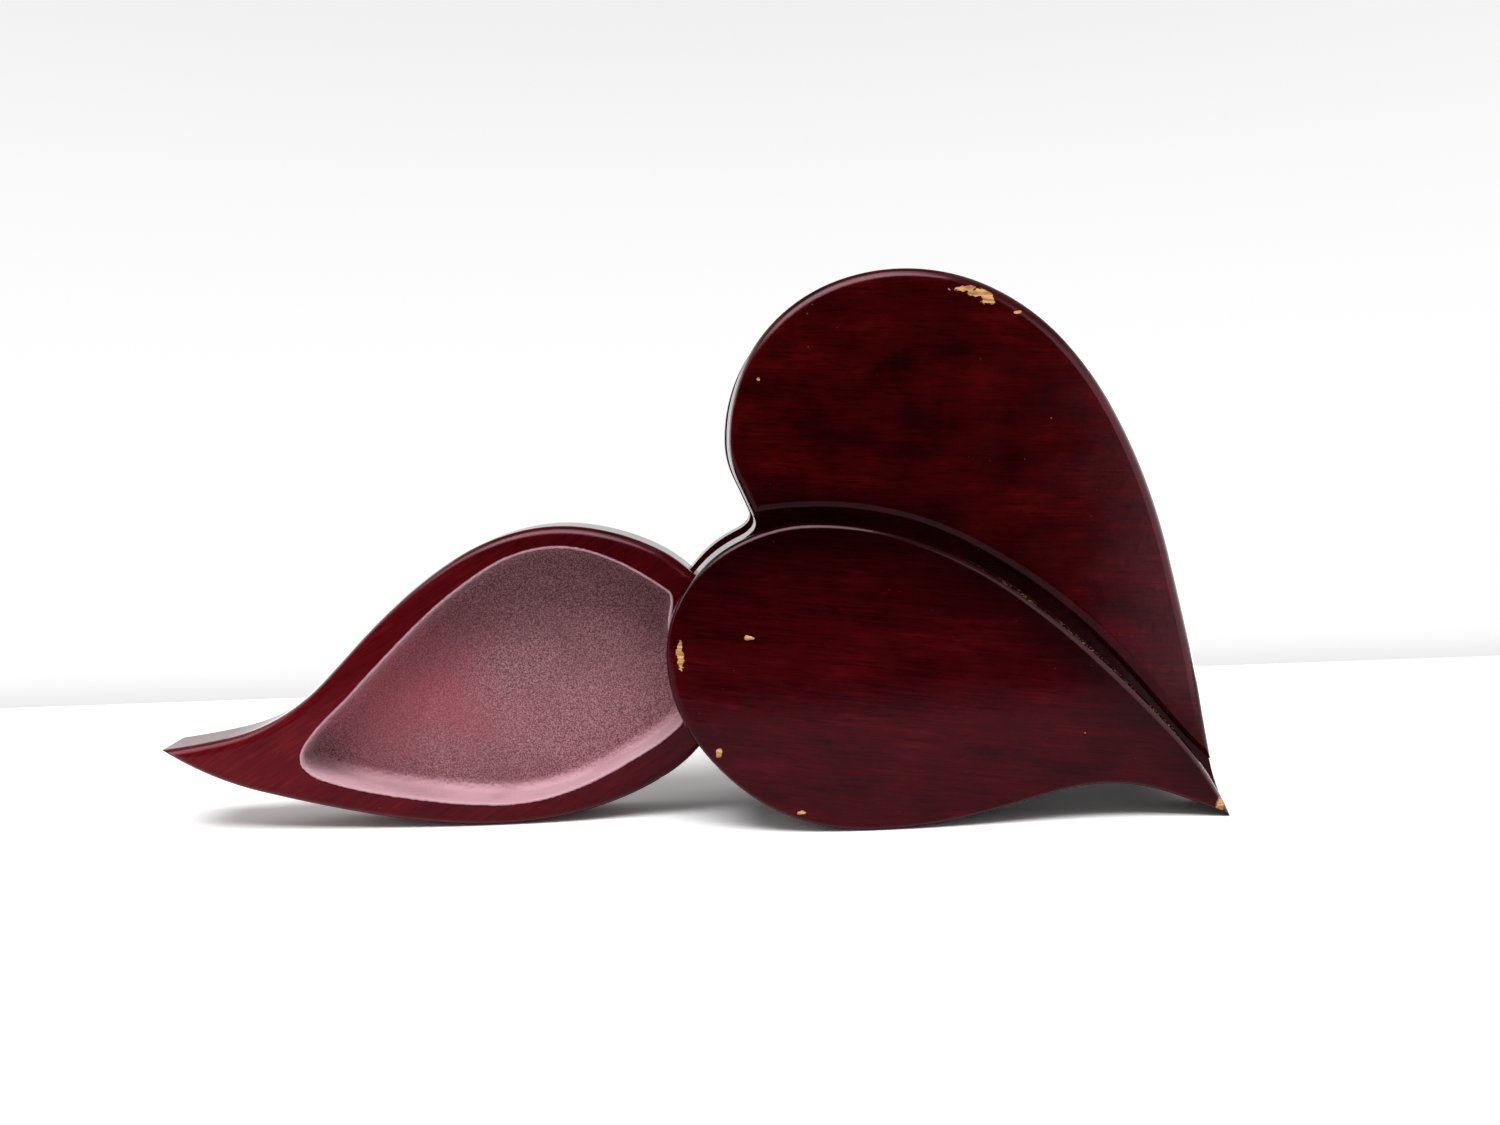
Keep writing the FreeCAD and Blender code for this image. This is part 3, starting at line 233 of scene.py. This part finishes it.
class Tree:
    """A material's node tree, with short ways to add and join nodes."""

    def __init__(self, owner):
        owner.use_nodes = True
        self.owner = owner
        self.nodes = owner.node_tree.nodes
        self.links = owner.node_tree.links

    def feed(self, socket, value):
        if isinstance(value, bpy.types.NodeSocket):
            self.links.new(value, socket)
        elif socket.type == "RGBA" and len(value) == 3:
            socket.default_value = (*value, 1.0)
        else:
            socket.default_value = value

    def add(self, kind, inputs, **settings):
        node = self.nodes.new(kind)
        for name, value in settings.items():
            setattr(node, name, value)
        for key, value in inputs.items():
            self.feed(node.inputs[key], value)
        return node

    def math(self, operation, first, second=0.0):
        inputs = {0: first, 1: second}
        return self.add("ShaderNodeMath", inputs, operation=operation).outputs[0]

    def vector(self, operation, first, second=(0.0, 0.0, 0.0)):
        inputs = {0: first, 1: second}
        return self.add("ShaderNodeVectorMath", inputs, operation=operation).outputs[0]

    def length(self, value):
        return self.add("ShaderNodeVectorMath", {0: value}, operation="LENGTH").outputs["Value"]

    def place(self):
        return self.add("ShaderNodeTexCoord", {}).outputs["Object"]

    def axis(self, value, name):
        return self.add("ShaderNodeSeparateXYZ", {0: value}).outputs[name]

    def noise(self, place, scale, detail=2.0, roughness=0.5):
        inputs = {"Vector": place, "Scale": scale, "Detail": detail, "Roughness": roughness}
        return self.add("ShaderNodeTexNoise", inputs).outputs["Fac"]

    def fade(self, value, start, end, low=0.0, high=1.0):
        inputs = {"Value": value, "From Min": start, "From Max": end, "To Min": low, "To Max": high}
        node = self.add("ShaderNodeMapRange", inputs, interpolation_type="SMOOTHSTEP")
        return node.outputs["Result"]

    def mix(self, factor, first, second, blend="MIX"):
        node = self.add("ShaderNodeMix", {}, data_type="RGBA", blend_type=blend)
        self.feed(node.inputs[0], factor)
        self.feed(node.inputs[6], first)
        self.feed(node.inputs[7], second)
        return node.outputs[2]

    def ramp(self, factor, *stops):
        node = self.add("ShaderNodeValToRGB", {"Fac": factor})
        node.color_ramp.interpolation = "EASE"
        elements = node.color_ramp.elements
        while len(elements) < len(stops):
            elements.new(1.0)
        for element, (position, colour) in zip(elements, stops):
            element.position = position
            element.color = (*colour, 1.0)
        return node.outputs["Color"]

    def bump(self, height, distance, strength=1.0, under=None):
        inputs = {"Height": height, "Distance": distance, "Strength": strength}
        if under:
            inputs["Normal"] = under
        return self.add("ShaderNodeBump", inputs).outputs["Normal"]

    def surface(self, **inputs):
        shader = self.nodes["Principled BSDF"]
        for name, value in inputs.items():
            self.feed(shader.inputs[name.replace("_", " ")], value)


def new_tree(name):
    return Tree(bpy.data.materials.new(name))


def along_grain(tree, degrees, frequencies):
    """Object place turned so that X runs along the grain, then stretched."""
    inputs = {"Vector": tree.place(), "Angle": math.radians(degrees)}
    turned = tree.add("ShaderNodeVectorRotate", inputs, rotation_type="Y_AXIS").outputs[0]
    return tree.vector("MULTIPLY", turned, frequencies)


def spots(tree, marks, ragged, front, softness=0.15):
    """A mask that is 1 inside each marked oval near the given front, with ragged edges."""
    mask = 0.0
    for x, z, half_width, half_height in marks:
        centre = (x * MM, front * MM, z * MM)
        stretch = (1 / (half_width * MM), 1 / (CHIP_REACH * MM), 1 / (half_height * MM))
        offset = tree.vector("MULTIPLY", tree.vector("SUBTRACT", tree.place(), centre), stretch)
        reach = tree.math("ADD", tree.length(offset), ragged)
        mask = tree.math("MAXIMUM", tree.fade(reach, SPOT_EDGE, SPOT_EDGE - softness), mask)
    return mask


def product(tree, *factors):
    result = factors[0]
    for factor in factors[1:]:
        result = tree.math("MULTIPLY", result, factor)
    return result


def edge_wear(tree, front):
    """Specks of worn lacquer on the rounded upper edge behind the leaf's front face."""
    place = tree.place()
    depth = tree.axis(place, "Y")
    near = tree.fade(depth, (front + EDGE_START) * MM, (front + EDGE_START + EDGE_START_SOFT) * MM)
    far = tree.fade(depth, (front + EDGE_END) * MM, (front + EDGE_END - EDGE_END_SOFT) * MM)
    slope, level = WORN_LINE
    height = tree.math("ADD", tree.axis(place, "Z"), tree.math("MULTIPLY", tree.axis(place, "X"), slope))
    above = tree.fade(height, (level - WORN_SOFT) * MM, (level + WORN_SOFT) * MM)
    along = tree.fade(tree.axis(place, "X"), WORN_FROM[0] * MM, WORN_FROM[1] * MM)
    patches = tree.fade(tree.noise(place, 130.0, 3.0), 0.36, 0.56)
    specks = tree.fade(tree.noise(place, 1500.0, 3.0, 0.65), 0.52, 0.62)
    return tree.math("MULTIPLY", product(tree, near, far, above, along, patches, specks), WORN_STRENGTH)


def wood_colour(tree, reds, degrees, streak_share):
    """Streaked and mottled red stain with fine dark pores."""
    dark, middle, light = reds
    bands = tree.noise(along_grain(tree, degrees, BANDS), 1.0, 4.0, 0.6)
    streaks = tree.noise(along_grain(tree, degrees, STREAKS), 1.0, 3.0, 0.6)
    mottle = tree.noise(along_grain(tree, degrees, MOTTLE), 1.0, 5.0, 0.65)
    mottle_share = 1.0 - BAND_SHARE - streak_share
    blend = tree.math("ADD", tree.math("MULTIPLY", bands, BAND_SHARE),
                      tree.math("MULTIPLY", streaks, streak_share))
    blend = tree.math("ADD", blend, tree.math("MULTIPLY", mottle, mottle_share))
    colour = tree.ramp(blend, (0.39, dark), (0.50, middle), (0.62, light))
    pores = tree.noise(along_grain(tree, degrees, PORES), 1.0, 2.0)
    return tree.mix(tree.fade(pores, 0.54, 0.68, 0.0, 0.7), colour, dark), streaks


def dusted(tree, colour):
    """Colour with a few fine pale specks on it."""
    specks = tree.fade(tree.noise(tree.place(), 1300.0, 1.0), *DUST_LEVELS, 0.0, DUST_STRENGTH)
    return tree.mix(specks, colour, DUST)


def bare_wood(tree, degrees):
    grain = tree.noise(along_grain(tree, degrees, BARE_GRAIN), 1.0, 3.0)
    return tree.ramp(grain, (0.38, BARE_WOOD[0]), (0.60, BARE_WOOD[1]))


def above_groove(tree, groove_fall):
    """Height over the groove between the front's two raised pieces."""
    place = tree.place()
    top_x, top_z = GROOVE_TOP
    aside = tree.math("SUBTRACT", tree.axis(place, "X"), top_x * MM)
    fall = tree.math("MULTIPLY", tree.math("MULTIPLY", aside, aside), groove_fall / MM)
    return tree.math("ADD", tree.math("SUBTRACT", tree.axis(place, "Z"), top_z * MM), fall)


def shaded(tree, colour, measure, start, end, low, high):
    """Colour made deeper or lighter along a measure."""
    level = tree.fade(measure, start * MM, end * MM, low, high)
    levels = tree.add("ShaderNodeCombineXYZ", {0: level, 1: level, 2: level}).outputs[0]
    return tree.vector("MULTIPLY", colour, levels)


# Painted shade: the colour darkens towards the groove between the lobe and the leaf
def painted_shade_to_groove(tree, colour, shade):
    groove_fall, *span = shade
    return shaded(tree, colour, above_groove(tree, groove_fall), *span)


def shaded_along_x(tree, colour, shade):
    return shaded(tree, colour, tree.axis(tree.place(), "X"), *shade)


# Painted shade: the colour darkens upwards
def painted_shade_upwards(tree, colour, shade):
    return shaded(tree, colour, tree.axis(tree.place(), "Z"), *shade)


def knotted(tree, colour, knot, front):
    """Colour with one dark knot in it."""
    swirl = tree.math("SUBTRACT", tree.noise(tree.place(), 200.0, 3.0), 0.5)
    smudge = spots(tree, (knot,), tree.math("MULTIPLY", swirl, KNOT_RAGGED), front, KNOT_SOFTNESS)
    return tree.mix(tree.math("MULTIPLY", smudge, KNOT_STRENGTH), colour, DARK_KNOT)


def lost_lacquer(tree, chips, front, worn):
    """Where the lacquer is gone: chips, and specks along a worn edge."""
    ragged = tree.math("SUBTRACT", tree.noise(tree.place(), 700.0, 3.0), 0.5)
    damage = spots(tree, chips, tree.math("MULTIPLY", ragged, CHIP_RAGGED), front)
    if worn:
        damage = tree.math("MAXIMUM", damage, edge_wear(tree, front))
    return damage


def lacquered_wood(name, reds, degrees, chips=(), front=FRONT_FACE, shading=None, shade=(), worn=False,
                   knot=None, streak_share=PLAIN_STREAKS):
    """Stained wood under a clear gloss, with its chips and wear."""
    tree = new_tree(name)
    colour, streaks = wood_colour(tree, reds, degrees, streak_share)
    if shading:
        colour = shading(tree, colour, shade)
    if knot:
        colour = knotted(tree, colour, knot, front)
    damage = lost_lacquer(tree, chips, front, worn)
    smear = tree.noise(tree.place(), 90.0, 3.0)
    gloss = tree.fade(smear, 0.3, 0.7, *LACQUER_ROUGHNESS)
    waves = tree.bump(tree.noise(tree.place(), 420.0, 2.0), WAVE_DEPTH)
    grain_relief = tree.bump(streaks, GRAIN_DEPTH, 1.0, waves)
    tree.surface(
        Base_Color=tree.mix(damage, dusted(tree, colour), bare_wood(tree, degrees)),
        Roughness=tree.math("ADD", gloss, tree.math("MULTIPLY", damage, CHIP_ROUGHNESS)),
        Specular_IOR_Level=LACQUER_LEVEL,
        Specular_Tint=LACQUER_TINT,
        Normal=tree.bump(damage, -CHIP_DEPTH, 1.0, grain_relief),
    )
    return tree.owner


def worn_patch(tree):
    """Where the flock is rubbed down to its redder ground."""
    x, z, half_width, half_height = WORN_PATCH
    uneven = tree.math("SUBTRACT", tree.noise(tree.place(), 70.0, 3.0), 0.5)
    stretch = (1 / (half_width * MM), 0.0, 1 / (half_height * MM))
    offset = tree.vector("SUBTRACT", tree.place(), (x * MM, 0.0, z * MM))
    reach = tree.math("ADD", tree.length(tree.vector("MULTIPLY", offset, stretch)), uneven)
    return tree.fade(reach, *PATCH_EDGE, 0.0, PATCH_STRENGTH)


def painted_rim_highlight(tree):
    """Painted highlight along the lining's frayed front edge."""
    coarse = tree.noise(tree.place(), 180.0, 2.0)
    fine = tree.noise(tree.place(), 900.0, 2.0)
    fray = tree.math("ADD", coarse, tree.math("MULTIPLY", fine, 0.6))
    wave = tree.math("MULTIPLY", tree.math("SUBTRACT", fray, 0.8), RIM_WAVE * MM)
    depth = tree.math("ADD", tree.axis(tree.place(), "Y"), wave)
    start, end = RIM_DEPTHS
    return tree.fade(depth, start * MM, end * MM, 0.0, RIM_HIGHLIGHT_STRENGTH)


def flock():
    """Short velvet pile: speckled mauve, red where it is worn, painted highlight at the rim and on walls that
    face up, painted shade upwards.
    """
    tree = new_tree("flock")
    dark, middle, light = FLOCK_MAUVES
    speckle = tree.noise(tree.place(), 2500.0, 2.0, 0.8)
    cloud = tree.noise(tree.place(), 45.0, 3.0)
    colour = tree.ramp(speckle, (0.39, dark), (0.50, middle), (0.61, light))
    colour = tree.mix(tree.fade(cloud, 0.35, 0.65, 0.0, 0.35), colour, FLOCK_CLOUD)
    colour = painted_shade_upwards(tree, tree.mix(worn_patch(tree), colour, FLOCK_GROUND), FLOCK_PAINTED_SHADE)
    # Painted light: walls that face up turn paler in patches, as if lit from above
    upward = tree.axis(tree.add("ShaderNodeTexCoord", {}).outputs["Normal"], "Z")
    light_patches = tree.fade(tree.noise(tree.place(), 60.0, 3.0), 0.3, 0.6, 0.55, 0.9)
    colour = tree.mix(product(tree, tree.fade(upward, 0.0, 0.95), light_patches), colour, FLOCK_PAINTED_LIGHT)
    tree.surface(
        Base_Color=tree.mix(painted_rim_highlight(tree), colour, FLOCK_PAINTED_LIGHT),
        Roughness=0.95,
        Specular_IOR_Level=0.1,
        Sheen_Weight=0.6,
        Sheen_Roughness=0.35,
        Sheen_Tint=(1.0, 0.84, 0.88),
        Normal=tree.bump(speckle, 0.25 * MM),
    )
    return tree.owner


def felt():
    tree = new_tree("felt")
    fibres = tree.noise(tree.place(), 2600.0, 4.0, 0.7)
    tree.surface(
        Base_Color=tree.ramp(fibres, (0.35, FELT_GREENS[0]), (0.65, FELT_GREENS[1])),
        Roughness=0.95,
        Sheen_Weight=0.3,
        Normal=tree.bump(fibres, 0.1 * MM),
    )
    return tree.owner


def metal(name, dull, bright, brush, roughness):
    """Metal with fine brush lines and a cloudy film."""
    tree = new_tree(name)
    lines = tree.noise(tree.vector("MULTIPLY", tree.place(), brush), 1.0, 3.0, 0.6)
    film = tree.noise(tree.place(), 160.0, 3.0)
    blend = tree.math("ADD", tree.math("MULTIPLY", lines, 0.5), tree.math("MULTIPLY", film, 0.5))
    low, high = roughness
    tree.surface(
        Base_Color=tree.ramp(blend, (0.35, dull), (0.65, bright)),
        Metallic=1.0,
        Roughness=tree.fade(blend, 0.35, 0.65, high, low),
        Normal=tree.bump(lines, 0.006 * MM),
    )
    return tree.owner


def cast_zinc():
    tree = new_tree("cast_zinc")
    grains = tree.noise(tree.place(), 900.0, 4.0, 0.65)
    film = tree.noise(tree.place(), 110.0, 3.0)
    tree.surface(
        Base_Color=tree.ramp(film, (0.35, ZINC_GREYS[0]), (0.65, ZINC_GREYS[1])),
        Metallic=1.0,
        Roughness=tree.fade(grains, 0.3, 0.7, 0.38, 0.56),
        Normal=tree.bump(grains, 0.03 * MM),
    )
    return tree.owner


def sound_board():
    """Pale softwood with straight growth lines."""
    tree = new_tree("sound_board")
    lines = tree.noise(along_grain(tree, 0.0, BOARD_LINES), 1.0, 3.0, 0.6)
    flecks = tree.noise(along_grain(tree, 0.0, BOARD_FLECKS), 1.0, 2.0)
    pale = tree.ramp(lines, (0.36, BOARD_BROWNS[0]), (0.62, BOARD_BROWNS[1]))
    tree.surface(
        Base_Color=tree.mix(tree.fade(flecks, 0.6, 0.75, 0.0, 0.5), pale, BOARD_FLECK),
        Roughness=tree.fade(lines, 0.3, 0.7, 0.62, 0.48),
        Specular_IOR_Level=0.3,
        Normal=tree.bump(lines, 0.04 * MM),
    )
    return tree.owner


def washer_fibre():
    tree = new_tree("washer_fibre")
    flecks = tree.noise(tree.place(), 1400.0, 4.0, 0.7)
    tree.surface(
        Base_Color=tree.ramp(flecks, (0.35, FIBRE_BROWNS[0]), (0.65, FIBRE_BROWNS[1])),
        Roughness=tree.fade(flecks, 0.3, 0.7, 0.55, 0.7),
        Normal=tree.bump(flecks, 0.03 * MM),
    )
    return tree.owner


def evaluated_mesh(piece):
    depsgraph = bpy.context.evaluated_depsgraph_get()
    return bpy.data.meshes.new_from_object(piece.evaluated_get(depsgraph))


def even_copy(node, name, voxel):
    """A new piece with the node's shape on an even mesh."""
    piece = bpy.data.objects.new(name, frame["nodes"][node].data.copy())
    bpy.context.scene.collection.objects.link(piece)
    remesh = piece.modifiers.new("even", "REMESH")
    remesh.mode = "VOXEL"
    remesh.voxel_size = voxel
    mesh = evaluated_mesh(piece)
    piece.modifiers.clear()
    piece.data = mesh
    return piece


def raise_pile(piece, grain, pile, inward):
    """Rough up the side that shows, and draw the glued side in a little."""
    mesh = piece.data
    normals = [vertex.normal.copy() for vertex in mesh.vertices]
    for vertex, normal in zip(mesh.vertices, normals):
        if inward(vertex.co, normal):
            lift = noise.noise(vertex.co / grain) + 0.5 * noise.noise(vertex.co * 2.3 / grain)
            vertex.co += normal * pile * lift
        else:
            vertex.co -= normal * BACKING_INSET
    for polygon in mesh.polygons:
        polygon.use_smooth = True
    mesh.update()


def dress(piece, material):
    piece.data.materials.clear()
    piece.data.materials.append(material)


def flocked_lining():
    piece = even_copy("tray_lining", "flocked_lining", FLOCK_VOXEL)
    low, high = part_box("tray_lining")
    middle = (low + high) / 2

    def inward(place, normal):
        towards = Vector((middle.x - place.x, 0.0, middle.z - place.z))
        return normal.y < 0.5 and (normal.y < -0.5 or normal.dot(towards) > 0)

    raise_pile(piece, FLOCK_GRAIN, FLOCK_PILE, inward)
    dress(piece, flock())
    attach(piece, "tray")
    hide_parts("tray_lining")


def felt_pad():
    piece = even_copy("stop_felt", "felt_pad", FELT_VOXEL)

    def everywhere(place, normal):
        return True

    raise_pile(piece, FELT_GRAIN, FELT_PILE, everywhere)
    dress(piece, felt())
    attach(piece, "stop")
    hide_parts("stop_felt")


def finish_nodes():
    """Give each node that stays its material: its own, or the one of its slot."""
    own = {
        "front_board": lacquered_wood("board_lacquer", BOARD_REDS, BODY_GRAIN),
        "upper_lobe": lacquered_wood("lobe_lacquer", LOBE_REDS, LOBE_GRAIN, LOBE_CHIPS,
                                     shading=painted_shade_to_groove, shade=LOBE_PAINTED_SHADE, knot=KNOT,
                                     streak_share=LOBE_STREAKS),
        "lower_leaf": lacquered_wood("leaf_lacquer", LEAF_REDS, LEAF_GRAIN, LEAF_CHIPS,
                                     shading=painted_shade_to_groove, shade=LEAF_PAINTED_SHADE, worn=True),
        "tray": lacquered_wood("tray_lacquer", TRAY_REDS, TRAY_GRAIN, TRAY_CHIPS, TRAY_FRONT,
                               shading=shaded_along_x, shade=TRAY_SHADE),
    }
    by_slot = {
        "lacquered_wood": lacquered_wood("body_lacquer", BODY_REDS, BODY_GRAIN),
        "sound_board": sound_board(),
        "cast_zinc": cast_zinc(),
        "brass": metal("brass", *BRASS),
        "steel": metal("steel", *STEEL),
        "washer_fibre": washer_fibre(),
    }
    for part in frame["record"]["subparts"]:
        material = own.get(part["node"]) or by_slot.get(part["material_slot"])
        if material:
            dress(frame["nodes"][part["node"]], material)


def table():
    """A white table top that looks a little whiter to the camera, and keeps its shadows."""
    half = TABLE_WIDTH / 2
    corners = [(-half, TABLE_FRONT, 0), (half, TABLE_FRONT, 0), (half, TABLE_BACK, 0), (-half, TABLE_BACK, 0)]
    mesh = bpy.data.meshes.new("table")
    mesh.from_pydata(corners, [], [(0, 1, 2, 3)])
    piece = bpy.data.objects.new("table", mesh)
    bpy.context.scene.collection.objects.link(piece)
    tree = new_tree("white_table")
    seen = tree.add("ShaderNodeLightPath", {}).outputs["Is Camera Ray"]
    lit = tree.add("ShaderNodeBsdfDiffuse", {"Color": (TABLE_WHITE, TABLE_WHITE, TABLE_WHITE)})
    white = tree.add("ShaderNodeBsdfDiffuse", {"Color": (SEEN_WHITE, SEEN_WHITE, SEEN_WHITE)})
    both = tree.add("ShaderNodeMixShader", {0: seen, 1: lit.outputs[0], 2: white.outputs[0]})
    tree.feed(tree.nodes["Material Output"].inputs["Surface"], both.outputs[0])
    dress(piece, tree.owner)


def mirrored_room(tree, right, back, up):
    """How bright the room looks in a gloss: a white wall, two windows and a bright patch overhead."""
    walls = tree.fade(back, *WALL_SIDE, BACK_WALL, FRONT_DARK)
    right_window = tree.fade(right, *RIGHT_WINDOW_SIDE, 0.0, RIGHT_WINDOW)
    left_window = product(tree, tree.fade(right, *LEFT_WINDOW_SIDE, 0.0, LEFT_WINDOW),
                          tree.fade(back, *LEFT_WINDOW_BACK))
    windows = tree.math("ADD", right_window, left_window)
    around = product(tree, tree.math("ADD", walls, windows), tree.fade(up, *CEILING_RISE, 1.0, CEILING))
    overhead = product(tree, tree.fade(up, *OVERHEAD_RISE), tree.fade(right, *OVERHEAD_RIGHT, 0.0, OVERHEAD),
                       tree.fade(back, *OVERHEAD_BACK))
    return tree.math("ADD", around, overhead)


def seen_wall(tree, right, back, up):
    """How white the wall looks to the camera, from any side, with painted shade at its foot and towards its
    top.
    """
    away = tree.math("MAXIMUM", tree.math("ABSOLUTE", back), tree.math("ABSOLUTE", right))
    rise = tree.math("DIVIDE", up, tree.math("MAXIMUM", away, 0.01))
    foot = tree.fade(rise, *WALL_FOOT, FOOT_GREY, 1.0)
    return tree.math("MULTIPLY", foot, tree.fade(up, *WALL_TOP, 1.0, TOP_GREY))


def room():
    """Plain light all round, a room to mirror in each gloss, and a white wall for the camera."""
    world = bpy.data.worlds.new("room")
    bpy.context.scene.world = world
    tree = Tree(world)
    direction = tree.add("ShaderNodeTexCoord", {}).outputs["Generated"]
    sides = [tree.axis(direction, name) for name in "XYZ"]
    rays = tree.add("ShaderNodeLightPath", {}).outputs
    mirrored = tree.math("MAXIMUM", rays["Is Glossy Ray"], rays["Is Transmission Ray"])
    light = tree.fade(mirrored, 0.0, 1.0, ROOM_LIGHT, mirrored_room(tree, *sides))
    strength = tree.fade(rays["Is Camera Ray"], 0.0, 1.0, light, seen_wall(tree, *sides))
    tree.feed(tree.nodes["Background"].inputs["Color"], (1.0, 1.0, 1.0))
    tree.feed(tree.nodes["Background"].inputs["Strength"], strength)


def softbox(name, place, aim, size, radiance):
    """A rectangular lamp whose face shines at the given radiance."""
    width, height = size
    lamp = bpy.data.lights.new(name, "AREA")
    lamp.shape = "RECTANGLE"
    lamp.size = width
    lamp.size_y = height
    lamp.energy = radiance * math.pi * width * height
    piece = bpy.data.objects.new(name, lamp)
    piece.location = place
    heading = Vector(aim) - Vector(place)
    piece.rotation_euler = heading.to_track_quat("-Z", "Y").to_euler()
    bpy.context.scene.collection.objects.link(piece)


def camera():
    right = Vector(CAMERA_RIGHT)
    up = Vector(CAMERA_UP)
    back = right.cross(up)
    turn = Matrix((right, up, back)).transposed()
    data = bpy.data.cameras.new("camera")
    data.lens = CAMERA_LENS
    data.sensor_width = SENSOR_WIDTH
    data.clip_start = 0.01
    piece = bpy.data.objects.new("camera", data)
    piece.matrix_world = Matrix.Translation(CAMERA_PLACE) @ turn.to_4x4()
    bpy.context.scene.collection.objects.link(piece)
    bpy.context.scene.camera = piece


finish_nodes()
flocked_lining()
felt_pad()
table()
room()
softbox("top_light", *TOP_LIGHT)
softbox("left_light", *LEFT_LIGHT)
camera()
bpy.context.scene.view_settings.view_transform = "Standard"
